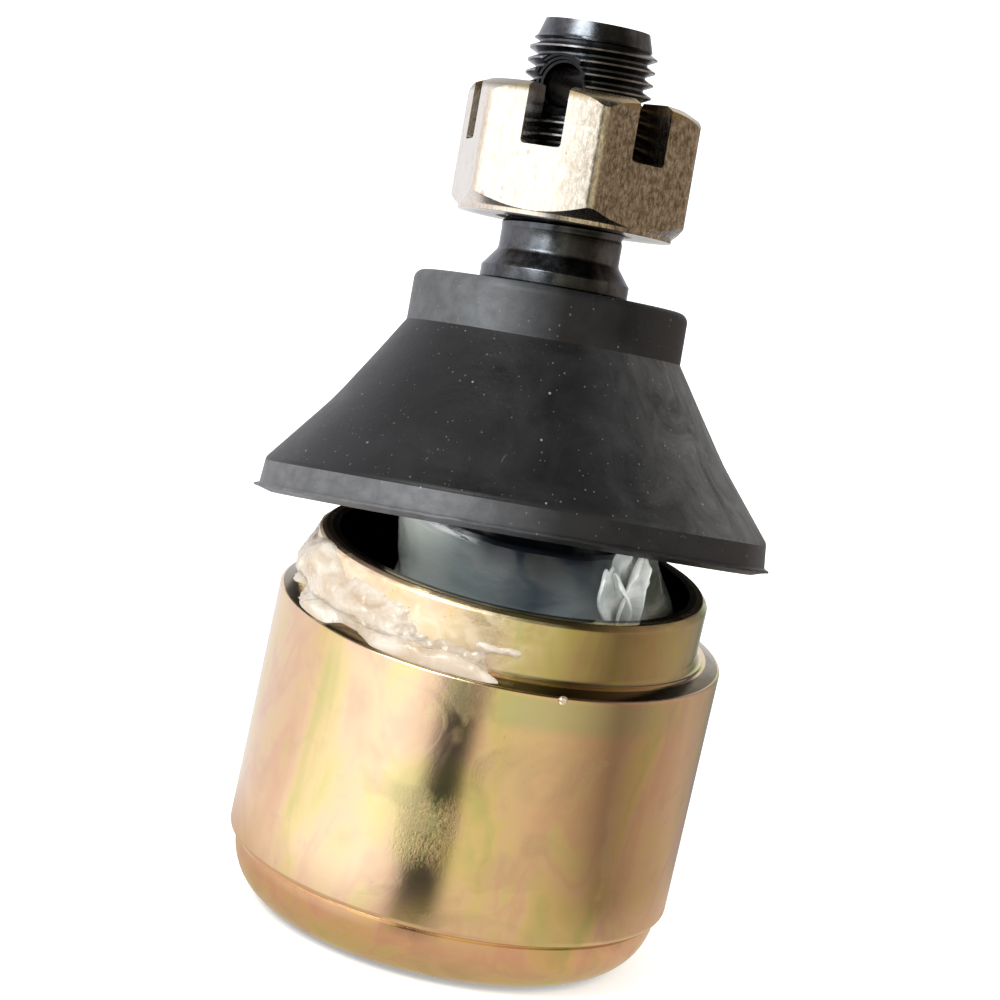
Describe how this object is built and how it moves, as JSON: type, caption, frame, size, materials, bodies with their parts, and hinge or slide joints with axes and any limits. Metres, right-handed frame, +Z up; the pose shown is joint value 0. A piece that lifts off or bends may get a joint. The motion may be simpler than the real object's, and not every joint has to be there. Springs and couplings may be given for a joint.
{
  "type": "ball joint tie rod end",
  "caption": "Press-in ball joint: a plated steel cartridge with a leaning threaded ball stud, a slotted castle nut, an umbrella dust boot and grease.",
  "frame": {"origin": "middle of the closed bottom of the housing, on its axis", "axes": "+Z up the housing's axis towards the stud; -Y is the side the viewer sees; the stud leans towards +Y and a little towards -X"},
  "size_m": [0.0576, 0.0588, 0.1002],
  "materials": {
    "housing": "yellow zinc plating, turned and polished",
    "cover_plate": "yellow zinc plating, pressed",
    "preload_spring": "spring steel, oiled",
    "pressure_plate": "plain steel, pressed",
    "lower_bearing_seat": "natural acetal, moulded",
    "upper_bearing_race": "hardened and ground",
    "socket_grease": "greasy",
    "well_grease": "greasy, wet",
    "collar_smear": "thin cream grease",
    "ball_stud": "black oxide",
    "castle_nut": "zinc plating over a machined blank",
    "dust_boot": "moulded rubber, dusty",
    "neck_grease": "greasy, wet"
  },
  "bodies": {
    "housing": {"housing": "housing", "cover_plate": "cover_plate", "preload_spring": "preload_spring", "upper_bearing_race": "upper_bearing_race", "socket_grease": "socket_grease", "well_grease": "well_grease", "collar_smear": "collar_smear"},
    "pressure_plate": {"pressure_plate": "pressure_plate"},
    "lower_seat": {"lower_bearing_seat": "lower_bearing_seat"},
    "leaning_group": {"dust_boot": "dust_boot", "neck_grease": "neck_grease"},
    "ball_stud": {"ball_stud": "ball_stud"},
    "castle_nut": {"castle_nut": "castle_nut"}
  },
  "joints": [
    {"name": "preload_travel", "type": "slide", "parent": "housing", "child": "pressure_plate", "axis": [0, 0, 1], "range_m": [-0.00025, 0], "stiffness_N_per_m": 200000, "deforming": ["preload_spring"]},
    {"name": "lean_direction", "type": "hinge", "parent": "pressure_plate", "child": "lower_seat", "pos_m": [0, 0, 0.02064], "axis": [0, 0, 1], "continuous": true},
    {"name": "stud_lean", "type": "hinge", "parent": "lower_seat", "child": "leaning_group", "pos_m": [0, 0, 0.02064], "axis": [-0.9829, -0.184, 0], "range_deg": [-39.6, 10.4]},
    {"name": "stud_spin", "type": "hinge", "parent": "leaning_group", "child": "ball_stud", "pos_m": [0, 0, 0.02064], "axis": [-0.0464, 0.2478, 0.9677], "continuous": true},
    {"name": "nut_turn", "type": "hinge", "parent": "ball_stud", "child": "castle_nut", "pos_m": [-0.0027, 0.01444, 0.07706], "axis": [-0.0464, 0.2478, 0.9677], "continuous": true}
  ]
}
